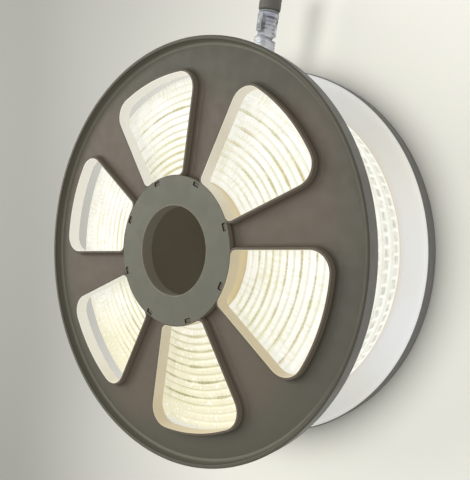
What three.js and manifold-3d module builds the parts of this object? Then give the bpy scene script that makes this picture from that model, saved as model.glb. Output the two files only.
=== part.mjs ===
// A reel of LED strip light: two moulded flanges snapped onto a barrel, the strip wound between them,
// and the strip's free end with its clear connector and round plug.
// Millimetres, +Z up. The reel lies on its rear flange. Lengths along the reel's axis start at the floor.
import * as THREE from 'three';
import { mergeVertices } from 'three/addons/utils/BufferGeometryUtils.js';
import Module from 'manifold-3d';

const wasm = await Module();
wasm.setup();

// Flange moulding
const flange_radius = 150;
const rim_height = 12.5;
const rim_wall = 3;
const rim_edge_round = 1;
const web_thickness = 3;
const web_inset = 3;
const flange_segments = 60;

// Windows of a flange
const window_count = 6;
const window_first_angle = 45;
const window_half_angle = 20.1;
const window_outer_radius = 126.5;
const window_corner_outer = 13;
const window_corner_inner = 4;
const window_wall = 2;
const window_land = 0.6;
const window_corner_outer_steps = 4;
const window_corner_inner_steps = 2;
const window_arc_outer_steps = 6;
const window_arc_inner_steps = 4;

// Hub of a flange
const hub_radius = 53.6;
const hub_wall = 1.1;
const hub_face = 2.5;
const bore_radius = 32;
const bore_sleeve_wall = 2.2;
const bore_sleeve_depth = 10;

// Snap slots and tabs
const slot_count = 8;
const slot_first_angle = 22.5;
const slot_length = 5.6;
const tab_height = 1.5;

// Barrel
const barrel_wall = 2.5;
const barrel_length = 101;
const fit_clearance = 0.3;

// Wound strip
const strip_edge_round = 1;
const turn_pitch = 5.5;
const turn_count = 14;
const turn_groove = 0.9;
const turn_shoulder = 1.1;
const lane_count = 5;
const lane_groove = 0.8;
const lane_gap = 0.5;
const roll_headroom = 9.3;
const roll_segments = 40;

// Free end of the strip
const tail_z = 57.5;
const tail_thickness = 4.6;
const tail_leave_angle = 50;
const tail_end_x = 33.2;
const tail_end_y = 157;
const tail_bend = 0.4;
const tail_steps = 14;

// Connector on the free end
const connector_lean = 6;
const sleeve_length = 8;
const sleeve_wall = 1;
const sleeve_rib = 0.5;
const sleeve_rib_count = 4;
const sleeve_rib_from = 0.25;
const sleeve_rib_share = 0.5;
const body_radius = 6.5;
const body_bore = 4.4;
const body_length = 17;
const body_floor = 4;
const thread_pitch = 2.6;
const thread_depth = 0.7;
const thread_turns = 5;
const thread_foot_from = 0.2;
const thread_crest_from = 0.45;
const thread_crest_to = 0.65;
const thread_foot_to = 0.9;
const collar_radius = 7.8;
const collar_height = 3;
const lug_length = 12;
const lug_width = 5;
const lug_reach = 3;
const lug_start = 3;
const seal_inner = 5;
const seal_outer = 7.4;
const seal_thickness = 1.4;
const plug_radius = 8.1;
const plug_length = 24;
const plug_front_round = 3.6;
const plug_edge_round = 3;
const plug_nose_length = 8;
const plug_edge_steps = 4;
const pin_radius = 1;
const pin_spacing = 4.6;
const pin_socket_depth = 5;
const pin_segments = 12;
const box_corner_steps = 3;
const connector_segments = 20;

// Colours and how rough and how metallic each surface is
const shell_look = { color: 0x7d776b, roughness: 0.55, metalness: 0 };
const barrel_look = { color: 0x57524a, roughness: 0.6, metalness: 0 };
const strip_look = { color: 0xf6f2e0, roughness: 0.4, metalness: 0 };
const clear_look = { color: 0xd8dbe4, roughness: 0.15, metalness: 0 };
const brass_look = { color: 0xb08d4a, roughness: 0.3, metalness: 1 };
const seal_look = { color: 0x6c6e73, roughness: 0.7, metalness: 0 };
const plug_look = { color: 0x5f5c58, roughness: 0.45, metalness: 0 };

// Places that follow from the sizes
const flange_gap_z = rim_height - web_inset;
const barrel_radius = hub_radius - hub_wall - fit_clearance;
const barrel_base = hub_face + fit_clearance;
const reel_height = barrel_base + barrel_length + fit_clearance + hub_face;
const roll_inner_radius = barrel_radius + fit_clearance;
const roll_outer_radius = roll_inner_radius + turn_pitch * turn_count;
const roll_base = flange_gap_z + fit_clearance;
const roll_top = reel_height - flange_gap_z - roll_headroom;
const lane_pitch = (roll_top - roll_base + lane_gap) / lane_count;
const strip_width = lane_pitch - lane_gap;
const connector_lean_rad = THREE.MathUtils.degToRad(connector_lean);
const socket_clearance = fit_clearance;
const plug_nose_radius = body_bore - fit_clearance;

function material(look) {
  return new THREE.MeshStandardMaterial(look);
}

// Turns a closed three.js geometry into a solid for booleans.
function solid(geometry) {
  const bare = geometry.index ? geometry.toNonIndexed() : geometry.clone();
  bare.deleteAttribute('normal');
  bare.deleteAttribute('uv');
  const merged = mergeVertices(bare, 1e-4);
  return new wasm.Manifold(new wasm.Mesh({
    numProp: 3,
    vertProperties: new Float32Array(merged.attributes.position.array),
    triVerts: new Uint32Array(merged.index.array),
  }));
}

function fromSolid(body) {
  const mesh = body.getMesh();
  const geometry = new THREE.BufferGeometry();
  geometry.setAttribute('position', new THREE.BufferAttribute(new Float32Array(mesh.vertProperties), 3));
  geometry.setIndex(new THREE.BufferAttribute(new Uint32Array(mesh.triVerts), 1));
  geometry.computeVertexNormals();
  return geometry;
}

// Turns an outline of [radius, height] points about +Z. The outline closes on itself.
function turned(outline, segments) {
  const points = [...outline, outline[0]].map(([radius, height]) => new THREE.Vector2(radius, height));
  const geometry = new THREE.LatheGeometry(points, segments);
  geometry.rotateX(Math.PI / 2);
  return geometry;
}

// An outline raised from one height to another along +Z.
function raised(points, low, high) {
  const shape = new THREE.Shape(points.map(([x, y]) => new THREE.Vector2(x, y)));
  const geometry = new THREE.ExtrudeGeometry(shape, { depth: high - low, bevelEnabled: false });
  geometry.translate(0, 0, low);
  return geometry;
}

// Points of an arc about a centre, moved outward or inward by an offset.
function arcPoints(centre, radius, start, end, steps, offset) {
  const points = [];
  for (let i = 0; i <= steps; i += 1) {
    const angle = start + ((end - start) * i) / steps;
    points.push([
      centre[0] + (radius + offset) * Math.cos(angle),
      centre[1] + (radius + offset) * Math.sin(angle),
    ]);
  }
  return points;
}

// One window's outline: a sector of a ring with round corners, grown by an offset on every side.
function windowOutline(middle, offset) {
  const inner = hub_radius + window_land;
  const half = THREE.MathUtils.degToRad(window_half_angle);
  const outerCentre = window_outer_radius - window_corner_outer;
  const innerCentre = inner + window_corner_inner;
  const outerTurn = half - Math.asin(window_corner_outer / outerCentre);
  const innerTurn = half - Math.asin(window_corner_inner / innerCentre);
  const at = (radius, angle) => [radius * Math.cos(middle + angle), radius * Math.sin(middle + angle)];
  const right = middle - half - Math.PI / 2;
  const left = middle + half + Math.PI / 2;
  const corner = window_corner_outer;
  const small = window_corner_inner;
  const full = 2 * Math.PI;
  const far = [middle - outerTurn, middle + outerTurn];
  const near = [middle + innerTurn, middle - innerTurn];
  const large_steps = window_corner_outer_steps;
  const small_steps = window_corner_inner_steps;
  return [
    ...arcPoints(at(outerCentre, -outerTurn), corner, right, far[0], large_steps, offset),
    ...arcPoints([0, 0], window_outer_radius, ...far, window_arc_outer_steps, offset).slice(1, -1),
    ...arcPoints(at(outerCentre, outerTurn), corner, far[1], left, large_steps, offset),
    ...arcPoints(at(innerCentre, innerTurn), small, left, near[0] + Math.PI, small_steps, offset),
    ...arcPoints([0, 0], inner, ...near, window_arc_inner_steps, -offset).slice(1, -1),
    ...arcPoints(at(innerCentre, -innerTurn), small, near[1] + Math.PI, right + full, small_steps, offset),
  ];
}

function windowAngles() {
  const step = (2 * Math.PI) / window_count;
  const first = THREE.MathUtils.degToRad(window_first_angle);
  return Array.from({ length: window_count }, (_, i) => first + i * step);
}

function slotAngles() {
  const step = (2 * Math.PI) / slot_count;
  const first = THREE.MathUtils.degToRad(slot_first_angle);
  return Array.from({ length: slot_count }, (_, i) => first + i * step);
}

// A box that stands on the barrel's wall at one angle, for a slot or for the tab that goes into it.
function wallBox(angle, clearance, low, high) {
  const depth = barrel_wall + 2 * clearance;
  const geometry = new THREE.BoxGeometry(depth, slot_length - 2 * (fit_clearance - clearance), high - low);
  geometry.translate(barrel_radius - barrel_wall / 2, 0, (low + high) / 2);
  geometry.rotateZ(angle);
  return geometry;
}

// The flange moulding, with its inner side at height 0 and its rim's lip at rim_height.
function flangeSolid() {
  const lip = rim_height;
  const web_top = web_inset + web_thickness;
  const wall_inside = hub_radius - hub_wall;
  const sleeve_outside = bore_radius + bore_sleeve_wall;
  const round = rim_edge_round;
  const outline = [
    [bore_radius, lip - bore_sleeve_depth],
    [sleeve_outside, lip - bore_sleeve_depth],
    [sleeve_outside, lip - hub_face],
    [wall_inside, lip - hub_face],
    [wall_inside, web_inset],
    [flange_radius - rim_wall, web_inset],
    [flange_radius - rim_wall, 0],
    [flange_radius - round, 0],
    [flange_radius, round],
    [flange_radius, lip - round],
    [flange_radius - round, lip],
    [flange_radius - rim_wall, lip],
    [flange_radius - rim_wall, web_top],
    [hub_radius, web_top],
    [hub_radius, lip],
    [bore_radius, lip],
  ];
  let body = solid(turned(outline, flange_segments));
  const through = 1;
  for (const angle of windowAngles()) {
    const wall = solid(raised(windowOutline(angle, window_wall), web_inset, lip));
    const hub_core = solid(turned([
      [0, -through],
      [wall_inside + hub_wall / 2, -through],
      [wall_inside + hub_wall / 2, lip + through],
      [0, lip + through],
    ], flange_segments));
    body = body.add(wall.subtract(hub_core));
  }
  for (const angle of windowAngles()) {
    body = body.subtract(solid(raised(windowOutline(angle, 0), -through, lip + through)));
  }
  for (const angle of slotAngles()) {
    body = body.subtract(solid(wallBox(angle, fit_clearance, lip - hub_face - through, lip + through)));
  }
  return body;
}

function barrelGeometry() {
  const inside = barrel_radius - barrel_wall;
  const top = barrel_base + barrel_length;
  let body = solid(turned([
    [inside, barrel_base],
    [barrel_radius, barrel_base],
    [barrel_radius, top],
    [inside, top],
  ], flange_segments));
  const root = 1;
  for (const angle of slotAngles()) {
    body = body.add(solid(wallBox(angle, 0, barrel_base - tab_height, barrel_base + root))
      .intersect(tabRing(barrel_base - tab_height, barrel_base + root)));
    body = body.add(solid(wallBox(angle, 0, top - root, top + tab_height))
      .intersect(tabRing(top - root, top + tab_height)));
  }
  return fromSolid(body);
}

// The barrel's own wall section, which trims a tab to its curve.
function tabRing(low, high) {
  const inside = barrel_radius - barrel_wall;
  return solid(turned([
    [inside, low],
    [barrel_radius, low],
    [barrel_radius, high],
    [inside, high],
  ], flange_segments));
}

// The wound strip's outline: flat turns with a groove between them on both sides, and between lanes outside.
function rollOutline() {
  const top = roll_top;
  const lower = [];
  const upper = [];
  for (let i = 0; i < turn_count; i += 1) {
    const start = roll_inner_radius + i * turn_pitch;
    const crest = [start + turn_shoulder, start + turn_pitch - turn_shoulder];
    lower.push([start, roll_base + turn_groove], [crest[0], roll_base], [crest[1], roll_base]);
    upper.unshift([crest[1], top], [crest[0], top], [start, top - turn_groove]);
  }
  const outside = [[roll_outer_radius - lane_groove, roll_base + turn_groove]];
  for (let i = 0; i < lane_count; i += 1) {
    const low = roll_base + i * lane_pitch;
    outside.push([roll_outer_radius, low + strip_edge_round]);
    outside.push([roll_outer_radius, low + strip_width - strip_edge_round]);
    if (i < lane_count - 1) {
      outside.push([roll_outer_radius - lane_groove, low + strip_width + lane_gap / 2]);
    }
  }
  outside.push([roll_outer_radius - lane_groove, top - turn_groove]);
  return [...lower, ...outside, ...upper];
}

// The free end's route: it peels off the outer turn, bends outward and ends straight in its sleeve.
function tailRoute() {
  const radius = roll_outer_radius - turn_pitch / 2;
  const leave = THREE.MathUtils.degToRad(tail_leave_angle);
  const start = new THREE.Vector3(radius * Math.cos(leave), radius * Math.sin(leave), tail_z);
  const startWay = new THREE.Vector3(-Math.sin(leave), Math.cos(leave), 0);
  const endWay = connectorWay();
  const end = new THREE.Vector3(tail_end_x, tail_end_y, tail_z);
  const bendEnd = end.clone().addScaledVector(endWay, -sleeve_length);
  const reach = start.distanceTo(bendEnd) * tail_bend;
  const bend = new THREE.CubicBezierCurve3(
    start,
    start.clone().addScaledVector(startWay, reach),
    bendEnd.clone().addScaledVector(endWay, -reach),
    bendEnd,
  );
  const stations = [];
  for (let i = 0; i <= tail_steps; i += 1) {
    stations.push({ point: bend.getPoint(i / tail_steps), way: bend.getTangent(i / tail_steps) });
  }
  stations.push({ point: end, way: endWay });
  return stations;
}

function connectorWay() {
  return new THREE.Vector3(Math.sin(connector_lean_rad), Math.cos(connector_lean_rad), 0);
}

// The free end as one ribbon of the strip's section, built as a flat outline raised along +Z.
function tailGeometry() {
  const outer = [];
  const inner = [];
  for (const { point, way } of tailRoute()) {
    const side = new THREE.Vector2(way.y, -way.x).multiplyScalar(tail_thickness / 2);
    outer.push([point.x + side.x, point.y + side.y]);
    inner.unshift([point.x - side.x, point.y - side.y]);
  }
  return raised([...outer, ...inner], tail_z - strip_width / 2, tail_z + strip_width / 2);
}

function rollGeometry() {
  return fromSolid(solid(turned(rollOutline(), roll_segments)).add(solid(tailGeometry())));
}

// A rounded rectangle about the origin, as points.
function roundedBox(width, height, corner) {
  const x = width / 2 - corner;
  const y = height / 2 - corner;
  const quarter = Math.PI / 2;
  return [
    ...arcPoints([x, -y], corner, -quarter, 0, box_corner_steps, 0),
    ...arcPoints([x, y], corner, 0, quarter, box_corner_steps, 0),
    ...arcPoints([-x, y], corner, quarter, 2 * quarter, box_corner_steps, 0),
    ...arcPoints([-x, -y], corner, 2 * quarter, 3 * quarter, box_corner_steps, 0),
  ];
}

// The clear sleeve over the cut end, along its own +Z, with ribs around it.
function sleeveGeometry() {
  const inside_width = strip_width + 2 * fit_clearance;
  const inside_height = tail_thickness + 2 * fit_clearance;
  const outside_width = inside_width + 2 * sleeve_wall;
  const outside_height = inside_height + 2 * sleeve_wall;
  let body = solid(raised(roundedBox(outside_width, outside_height, sleeve_wall), 0, sleeve_length));
  const step = sleeve_length / sleeve_rib_count;
  for (let i = 0; i < sleeve_rib_count; i += 1) {
    const low = (i + sleeve_rib_from) * step;
    const width = outside_width + 2 * sleeve_rib;
    const height = outside_height + 2 * sleeve_rib;
    const rib = roundedBox(width, height, sleeve_wall + sleeve_rib);
    body = body.add(solid(raised(rib, low, low + sleeve_rib_share * step)));
  }
  const hollow = new THREE.BoxGeometry(inside_width, inside_height, sleeve_length);
  hollow.translate(0, 0, sleeve_length / 2 - sleeve_wall);
  return fromSolid(body.subtract(solid(hollow)));
}

// The clear body along its own +Z: a cup with rings of thread, a collar at its mouth and two side lugs.
function bodyGeometry() {
  const outline = [[0, 0], [body_radius - thread_depth, 0]];
  const thread_start = (body_length - collar_height - thread_turns * thread_pitch) / 2;
  for (let i = 0; i < thread_turns; i += 1) {
    const low = thread_start + i * thread_pitch;
    outline.push([body_radius - thread_depth, low + thread_foot_from * thread_pitch]);
    outline.push([body_radius, low + thread_crest_from * thread_pitch]);
    outline.push([body_radius, low + thread_crest_to * thread_pitch]);
    outline.push([body_radius - thread_depth, low + thread_foot_to * thread_pitch]);
  }
  outline.push([body_radius - thread_depth, body_length - collar_height]);
  outline.push([collar_radius, body_length - collar_height]);
  outline.push([collar_radius, body_length]);
  outline.push([body_bore, body_length]);
  outline.push([body_bore, body_floor]);
  outline.push([0, body_floor]);
  let body = solid(turned(outline, connector_segments));
  for (const side of [-1, 1]) {
    const root = body_radius - 2 * thread_depth;
    const tip = body_radius + lug_reach;
    const lug = new THREE.BoxGeometry(tip - root, lug_width, lug_length);
    lug.translate((side * (tip + root)) / 2, 0, lug_start + lug_length / 2);
    body = body.add(solid(lug));
  }
  return fromSolid(body);
}

function sealGeometry() {
  return turned([
    [seal_inner, 0],
    [seal_outer, 0],
    [seal_outer, seal_thickness],
    [seal_inner, seal_thickness],
  ], connector_segments);
}

// The plug along its own +Z: a nose that goes into the body, a round shoulder and a plain domed end.
function plugGeometry() {
  const front = plug_front_round;
  const round = plug_edge_round;
  const outline = [[0, -plug_nose_length], [plug_nose_radius, -plug_nose_length], [plug_nose_radius, 0]];
  for (let i = 0; i <= plug_edge_steps; i += 1) {
    const angle = ((i / plug_edge_steps) * Math.PI) / 2;
    outline.push([plug_radius - front + front * Math.sin(angle), front - front * Math.cos(angle)]);
  }
  const end_low = plug_length - round;
  for (let i = 0; i <= plug_edge_steps; i += 1) {
    const angle = ((i / plug_edge_steps) * Math.PI) / 2;
    outline.push([plug_radius - round + round * Math.cos(angle), end_low + round * Math.sin(angle)]);
  }
  outline.push([0, plug_length]);
  let body = solid(turned(outline, connector_segments));
  for (const side of [-1, 1]) {
    const bore = pin_radius + socket_clearance;
    const socket = new THREE.CylinderGeometry(bore, bore, 2 * pin_socket_depth, pin_segments);
    socket.rotateX(Math.PI / 2);
    socket.translate((side * pin_spacing) / 2, 0, -plug_nose_length);
    body = body.subtract(solid(socket));
  }
  return fromSolid(body);
}

function pinGeometry(length) {
  const geometry = new THREE.CylinderGeometry(pin_radius, pin_radius, length, pin_segments);
  geometry.rotateX(Math.PI / 2);
  geometry.translate(0, 0, length / 2);
  return geometry;
}

function named(name, geometry, look) {
  const mesh = new THREE.Mesh(geometry, look);
  mesh.name = name;
  return mesh;
}

// Both flanges are one moulding. The rear one is turned over about the line through a window's middle.
function flanges() {
  const body = flangeSolid();
  const look = material(shell_look);
  const front = named('front_flange', fromSolid(body), look);
  front.position.z = reel_height - rim_height;
  const rear = named('rear_flange', fromSolid(body), look);
  const line = THREE.MathUtils.degToRad(window_first_angle);
  rear.rotateOnAxis(new THREE.Vector3(Math.cos(line), Math.sin(line), 0), Math.PI);
  rear.position.z = rim_height;
  return [front, rear];
}

// The connector's pieces stand along the free end's last direction. Their own X is the reel's axis.
function connector() {
  const group = new THREE.Group();
  const way = connectorWay();
  const across = new THREE.Vector3(0, 0, 1);
  const third = new THREE.Vector3().crossVectors(way, across);
  group.quaternion.setFromRotationMatrix(new THREE.Matrix4().makeBasis(across, third, way));
  group.position.set(tail_end_x, tail_end_y, tail_z);
  const clear = material(clear_look);

  const sleeve = named('strip_end_sleeve', sleeveGeometry(), clear);
  sleeve.position.z = sleeve_wall + fit_clearance - sleeve_length;
  const body = named('connector_body', bodyGeometry(), clear);
  body.position.z = sleeve.position.z + sleeve_length + fit_clearance;
  const seal = named('seal_ring', sealGeometry(), material(seal_look));
  seal.position.z = body.position.z + body_length + fit_clearance;
  const plug = named('coupling_plug', plugGeometry(), material(plug_look));
  plug.position.z = seal.position.z + seal_thickness + fit_clearance;
  group.add(sleeve, body, seal, plug);

  const pin_base = body.position.z + body_floor + fit_clearance;
  const pin_tip = plug.position.z - plug_nose_length + pin_socket_depth - fit_clearance;
  const sides = [['contact_pin_front', 1], ['contact_pin_rear', -1]];
  for (const [name, side] of sides) {
    const pin = named(name, pinGeometry(pin_tip - pin_base), material(brass_look));
    pin.position.set((side * pin_spacing) / 2, 0, pin_base);
    group.add(pin);
  }
  return group;
}

// The reel's own axis is its centre. The whole is then set with the middle of its outline over the origin.
const reel = new THREE.Group();
reel.add(...flanges());
reel.add(named('hub_barrel', barrelGeometry(), material(barrel_look)));
reel.add(named('strip_roll', rollGeometry(), material(strip_look)));
reel.add(connector());

const part = new THREE.Group();
part.add(reel);
part.updateMatrixWorld(true);
const outline_box = new THREE.Box3().setFromObject(part, true);
const outline_centre = outline_box.getCenter(new THREE.Vector3());
reel.position.set(-outline_centre.x, -outline_centre.y, -outline_box.min.z);

export default part;
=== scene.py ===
"""Looks for a lit LED strip light reel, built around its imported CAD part. Sizes are in mm."""

import math

import bmesh
import bpy
import numpy as np
from mathutils import Matrix, Vector


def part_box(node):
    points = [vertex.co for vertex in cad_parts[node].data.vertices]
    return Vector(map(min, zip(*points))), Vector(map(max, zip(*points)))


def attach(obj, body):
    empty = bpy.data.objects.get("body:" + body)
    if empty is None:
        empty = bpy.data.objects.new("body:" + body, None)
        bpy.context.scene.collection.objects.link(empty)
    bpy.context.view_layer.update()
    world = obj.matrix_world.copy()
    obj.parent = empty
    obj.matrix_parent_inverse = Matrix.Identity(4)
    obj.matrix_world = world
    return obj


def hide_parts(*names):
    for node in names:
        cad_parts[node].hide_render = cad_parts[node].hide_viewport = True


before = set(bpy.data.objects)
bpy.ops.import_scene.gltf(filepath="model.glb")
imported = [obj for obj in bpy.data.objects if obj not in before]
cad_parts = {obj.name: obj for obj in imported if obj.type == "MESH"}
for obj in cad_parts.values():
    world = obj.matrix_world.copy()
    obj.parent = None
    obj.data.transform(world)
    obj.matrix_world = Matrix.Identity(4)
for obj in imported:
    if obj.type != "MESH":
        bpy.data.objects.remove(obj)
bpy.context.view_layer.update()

MM = 0.001
rng = np.random.default_rng(11)

# Flange moulding
FLANGE_R = 150.0
RIM_H = 12.5
RIM_WALL = 3.0
WEB_LOW, WEB_TOP = 3.0, 6.0
HUB_R, HUB_IN, HUB_FACE = 53.6, 52.5, 2.5
BORE_R, SLEEVE_R, SLEEVE_LOW = 32.0, 34.2, 2.5
WINDOW_ANGLES = [45 + 60 * i for i in range(6)]
WINDOW_HALF = 20.1
WINDOW_OUT, WINDOW_IN = 126.5, 54.2
CORNER_OUT, CORNER_IN = 13.0, 4.0
WALL_W = 2.0
WALL_ROUND = 0.5
FILLET = 3.5
SLOT_ANGLES = [22.5 + 45 * i for i in range(8)]
SLOT_LENGTH = 5.6
SLOT_CLEAR = 0.3
LATHE_STEPS = 240
CUT_OVER, CUT_UNDER = 2.0, 1.0
# Small offsets that keep the faces of joined solids from lying in one plane
WALL_SINK, WEB_OVERLAP, HUB_SKIN = 0.05, 0.02, 0.1
WALL_ROOT_Z, WALL_ROOT_IN = 4.5, 0.7

# Barrel
BARREL_IN, BARREL_R = 49.7, 52.2
BARREL_LOW, BARREL_TOP = 2.8, 103.8
TAB_H, TAB_ROOT, TAB_BEVEL, TAB_SKIN = 2.0, 1.0, 0.25, 0.02
REEL_H = 106.6

# Wound strip
ROLL_IN, TURN_PITCH, TURNS = 52.5, 5.5, 14
ROLL_LOW, LANE_PITCH, LANES, STRIP_W = 9.8, 15.7, 5, 15.2
TURN_T = 5.2
STRIP_ROUND = 1.25
LED_PITCH = 8.33
RING_STEPS, HIDDEN_STEPS = 192, 64
WANDER_R, WANDER_FINE, WANDER_Z, LANE_SHIFT = 0.1, 0.06, 0.16, 0.15
TOP_ROOM = 0.3
LANE_PHASE, TURN_PHASE = 0.4, 0.08
# How dark each seam is, from the barrel outwards: turn i lies between seams i and i + 1
LINES = (0.5, 0.35, 0.8, 0.35, 0.8, 0.35, 0.9, 0.2, 1.0, 0.1, 1.0, 0.2, 0.0, 0.0, 0.0)

# Free end and its connector
TAIL_Z = 57.5
TAIL_T = 4.6
TAIL_END = (33.2, 157.0)
TAIL_LEAVE, TAIL_BEND, SLEEVE_L = 50.0, 0.4, 8.0
TAIL_STEPS = 40
TAIL_STOPS = (0.25, 0.5, 0.75, 0.98)
TAIL_MARK = (0.4, 0.4, 0.5)
LEAN = math.radians(6.0)

hub_low, hub_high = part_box("hub_barrel")
AXIS_X, AXIS_Y = (hub_low.x + hub_high.x) / 2, (hub_low.y + hub_high.y) / 2


def to_frame(points):
    """Points in the reel's own millimetres, as metres in the row frame."""
    return np.asarray(points, float) * MM + np.array([AXIS_X, AXIS_Y, 0.0])


# ---- meshes

NO_MARK = (0.0, 0.0, 0.0)
NO_UV = (0.5, 0.5)


class Build:
    """Collects vertices, faces, material numbers, UV pairs of face corners and marks of faces."""

    def __init__(self):
        self.verts, self.faces, self.mats, self.uvs, self.marks = [], [], [], [], []
        self.count = 0

    def grid(self, rings, mats, closed_u=True, closed_v=True, uv=None, flip=False, mark=NO_MARK):
        """rings is (n, m, 3): n stations of m points. mats is one number, or one per edge."""
        rings = np.asarray(rings, float)
        n, m, _ = rings.shape
        base = self.count
        self.verts.append(rings.reshape(-1, 3))
        self.count += n * m
        for i in range(n if closed_u else n - 1):
            j = (i + 1) % n
            for k in range(m if closed_v else m - 1):
                k2 = (k + 1) % m
                quad = [(i, k), (j, k), (j, k2), (i, k2)]
                if flip:
                    quad.reverse()
                self.faces.append([base + (a % n) * m + b for a, b in quad])
                self.mats.append(mats[k] if hasattr(mats, "__len__") else mats)
                self.marks.append(mark)
                if uv is None:
                    self.uvs.extend([(0.0, 0.0)] * 4)
                else:
                    us, vs = uv
                    near, far = us[i], us[i + 1]
                    corner = {(i, k): (near, vs[k][0]), (j, k): (far, vs[k][0]),
                              (j, k2): (far, vs[k][1]), (i, k2): (near, vs[k][1])}
                    self.uvs.extend(corner[c] for c in quad)
        return base, n, m

    def face(self, loop, mat=0):
        """One plain face, with no pattern on it."""
        self.faces.append(loop)
        self.mats.append(mat)
        self.marks.append(NO_MARK)
        self.uvs.extend([NO_UV] * len(loop))

    def cap(self, base, m, station, flip=False, mat=0):
        """Closes the section ring of one station of a grid."""
        loop = [base + station * m + k for k in range(m)]
        if flip:
            loop.reverse()
        self.face(loop, mat)

    def mesh(self, name):
        """The mesh in the row frame, with its normals pointing out."""
        data = bpy.data.meshes.new(name)
        data.from_pydata(to_frame(np.concatenate(self.verts)).tolist(), [], self.faces)
        data.polygons.foreach_set("material_index", self.mats)
        layer = data.uv_layers.new(name="UVMap")
        layer.data.foreach_set("uv", np.asarray(self.uvs, float).ravel())
        mark = data.attributes.new("mark", "FLOAT_VECTOR", "FACE")
        mark.data.foreach_set("vector", np.asarray(self.marks, np.float32).ravel())
        work = bmesh.new()
        work.from_mesh(data)
        bmesh.ops.recalc_face_normals(work, faces=work.faces)
        work.to_mesh(data)
        work.free()
        data.update()
        return data


def add_object(name, data, materials, angle=35.0):
    """An object in the scene, smooth up to the angle. Mesh data with materials keeps its own."""
    obj = bpy.data.objects.new(name, data)
    bpy.context.scene.collection.objects.link(obj)
    if not any(data.materials):
        kinds = np.zeros(len(data.polygons), np.int32)
        data.polygons.foreach_get("material_index", kinds)
        data.materials.clear()
        for m in materials:
            data.materials.append(m)
        data.polygons.foreach_set("material_index", kinds)
    data.polygons.foreach_set("use_smooth", [True] * len(data.polygons))
    data.set_sharp_from_angle(angle=math.radians(angle))
    data.update()
    return obj


ARC_SHARE = 0.48
STRAIGHT = 1e-4


def rounded(corners, steps=5):
    """A closed outline from (x, y, radius) corners, each rounded with an arc.

    An arc takes at most ARC_SHARE of the side before it and after it.
    """
    out = []
    n = len(corners)
    for i in range(n):
        p = np.array(corners[i][:2], float)
        a = np.array(corners[i - 1][:2], float) - p
        b = np.array(corners[(i + 1) % n][:2], float) - p
        r = corners[i][2]
        la, lb = np.linalg.norm(a), np.linalg.norm(b)
        a, b = a / la, b / lb
        half = math.acos(max(-1.0, min(1.0, float(a @ b)))) / 2
        if r <= 0 or abs(half - math.pi / 2) < STRAIGHT:
            out.append(tuple(p))
            continue
        t = min(r / math.tan(half), ARC_SHARE * la, ARC_SHARE * lb)
        r = t * math.tan(half)
        mid = (a + b) / np.linalg.norm(a + b)
        centre = p + mid * r / math.sin(half)
        start, end = p + a * t - centre, p + b * t - centre
        a0, a1 = math.atan2(start[1], start[0]), math.atan2(end[1], end[0])
        turn = (a1 - a0 + math.pi) % (2 * math.pi) - math.pi
        for k in range(steps + 1):
            angle = a0 + turn * k / steps
            out.append((centre[0] + r * math.cos(angle), centre[1] + r * math.sin(angle)))
    return out


def lathe_rings(outline, steps=LATHE_STEPS):
    """A (radius, height) outline at every station of a turn about the Z axis."""
    radii, heights = np.asarray(outline, float).T
    angles = np.linspace(0, 2 * math.pi, steps, endpoint=False)
    return np.stack([np.stack([radii * math.cos(a), radii * math.sin(a), heights], -1)
                     for a in angles])


def arc(centre, radius, start, end, steps, offset):
    """Points on an arc, with its radius grown by an offset."""
    angles = np.linspace(start, end, steps + 1)
    r = radius + offset
    return [(centre[0] + r * math.cos(a), centre[1] + r * math.sin(a)) for a in angles]


def window_outline(middle_deg, offset):
    """A sector of a ring with round corners, grown by an offset that leaves the point count."""
    middle = math.radians(middle_deg)
    half = math.radians(WINDOW_HALF)
    # Where the corner arcs have their centres: radius, and angle from the middle line
    oc, ic = WINDOW_OUT - CORNER_OUT, WINDOW_IN + CORNER_IN
    ot = half - math.asin(CORNER_OUT / oc)
    it = half - math.asin(CORNER_IN / ic)

    def at(radius, angle):
        return (radius * math.cos(middle + angle), radius * math.sin(middle + angle))

    right, left = middle - half - math.pi / 2, middle + half + math.pi / 2
    return np.array(
        arc(at(oc, -ot), CORNER_OUT, right, middle - ot, 10, offset)
        + arc((0, 0), WINDOW_OUT, middle - ot, middle + ot, 20, offset)[1:-1]
        + arc(at(oc, ot), CORNER_OUT, middle + ot, left, 10, offset)
        + arc(at(ic, it), CORNER_IN, left, middle + it + math.pi, 6, offset)
        + arc((0, 0), WINDOW_IN, middle + it, middle - it, 16, -offset)[1:-1]
        + arc(at(ic, -it), CORNER_IN, middle - it + math.pi, right + 2 * math.pi, 6, offset)
    )


def evaluated_copy(obj, name):
    """obj's mesh with its modifiers applied. obj itself is removed."""
    depsgraph = bpy.context.evaluated_depsgraph_get()
    data = bpy.data.meshes.new_from_object(obj.evaluated_get(depsgraph), depsgraph=depsgraph)
    data.name = name
    bpy.data.objects.remove(obj)
    return data


def boolean(obj, tool, operation):
    step = obj.modifiers.new(operation.lower(), "BOOLEAN")
    step.object, step.operation, step.solver = tool, operation, "MANIFOLD"


def raised(build, loop, low, high, mat):
    """A closed prism over a flat loop of (x, y) points."""
    section = [np.column_stack([loop, np.full(len(loop), z)]) for z in (low, high)]
    base, _, m = build.grid(np.stack(section), mat, closed_u=False)
    build.cap(base, m, 0, flip=True, mat=mat)
    build.cap(base, m, 1, mat=mat)


SHELL, HUB, LIT, WINDOW, BORE, RIM, FRAME, FRAME_SIDE, RIM_INSIDE = range(9)


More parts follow.
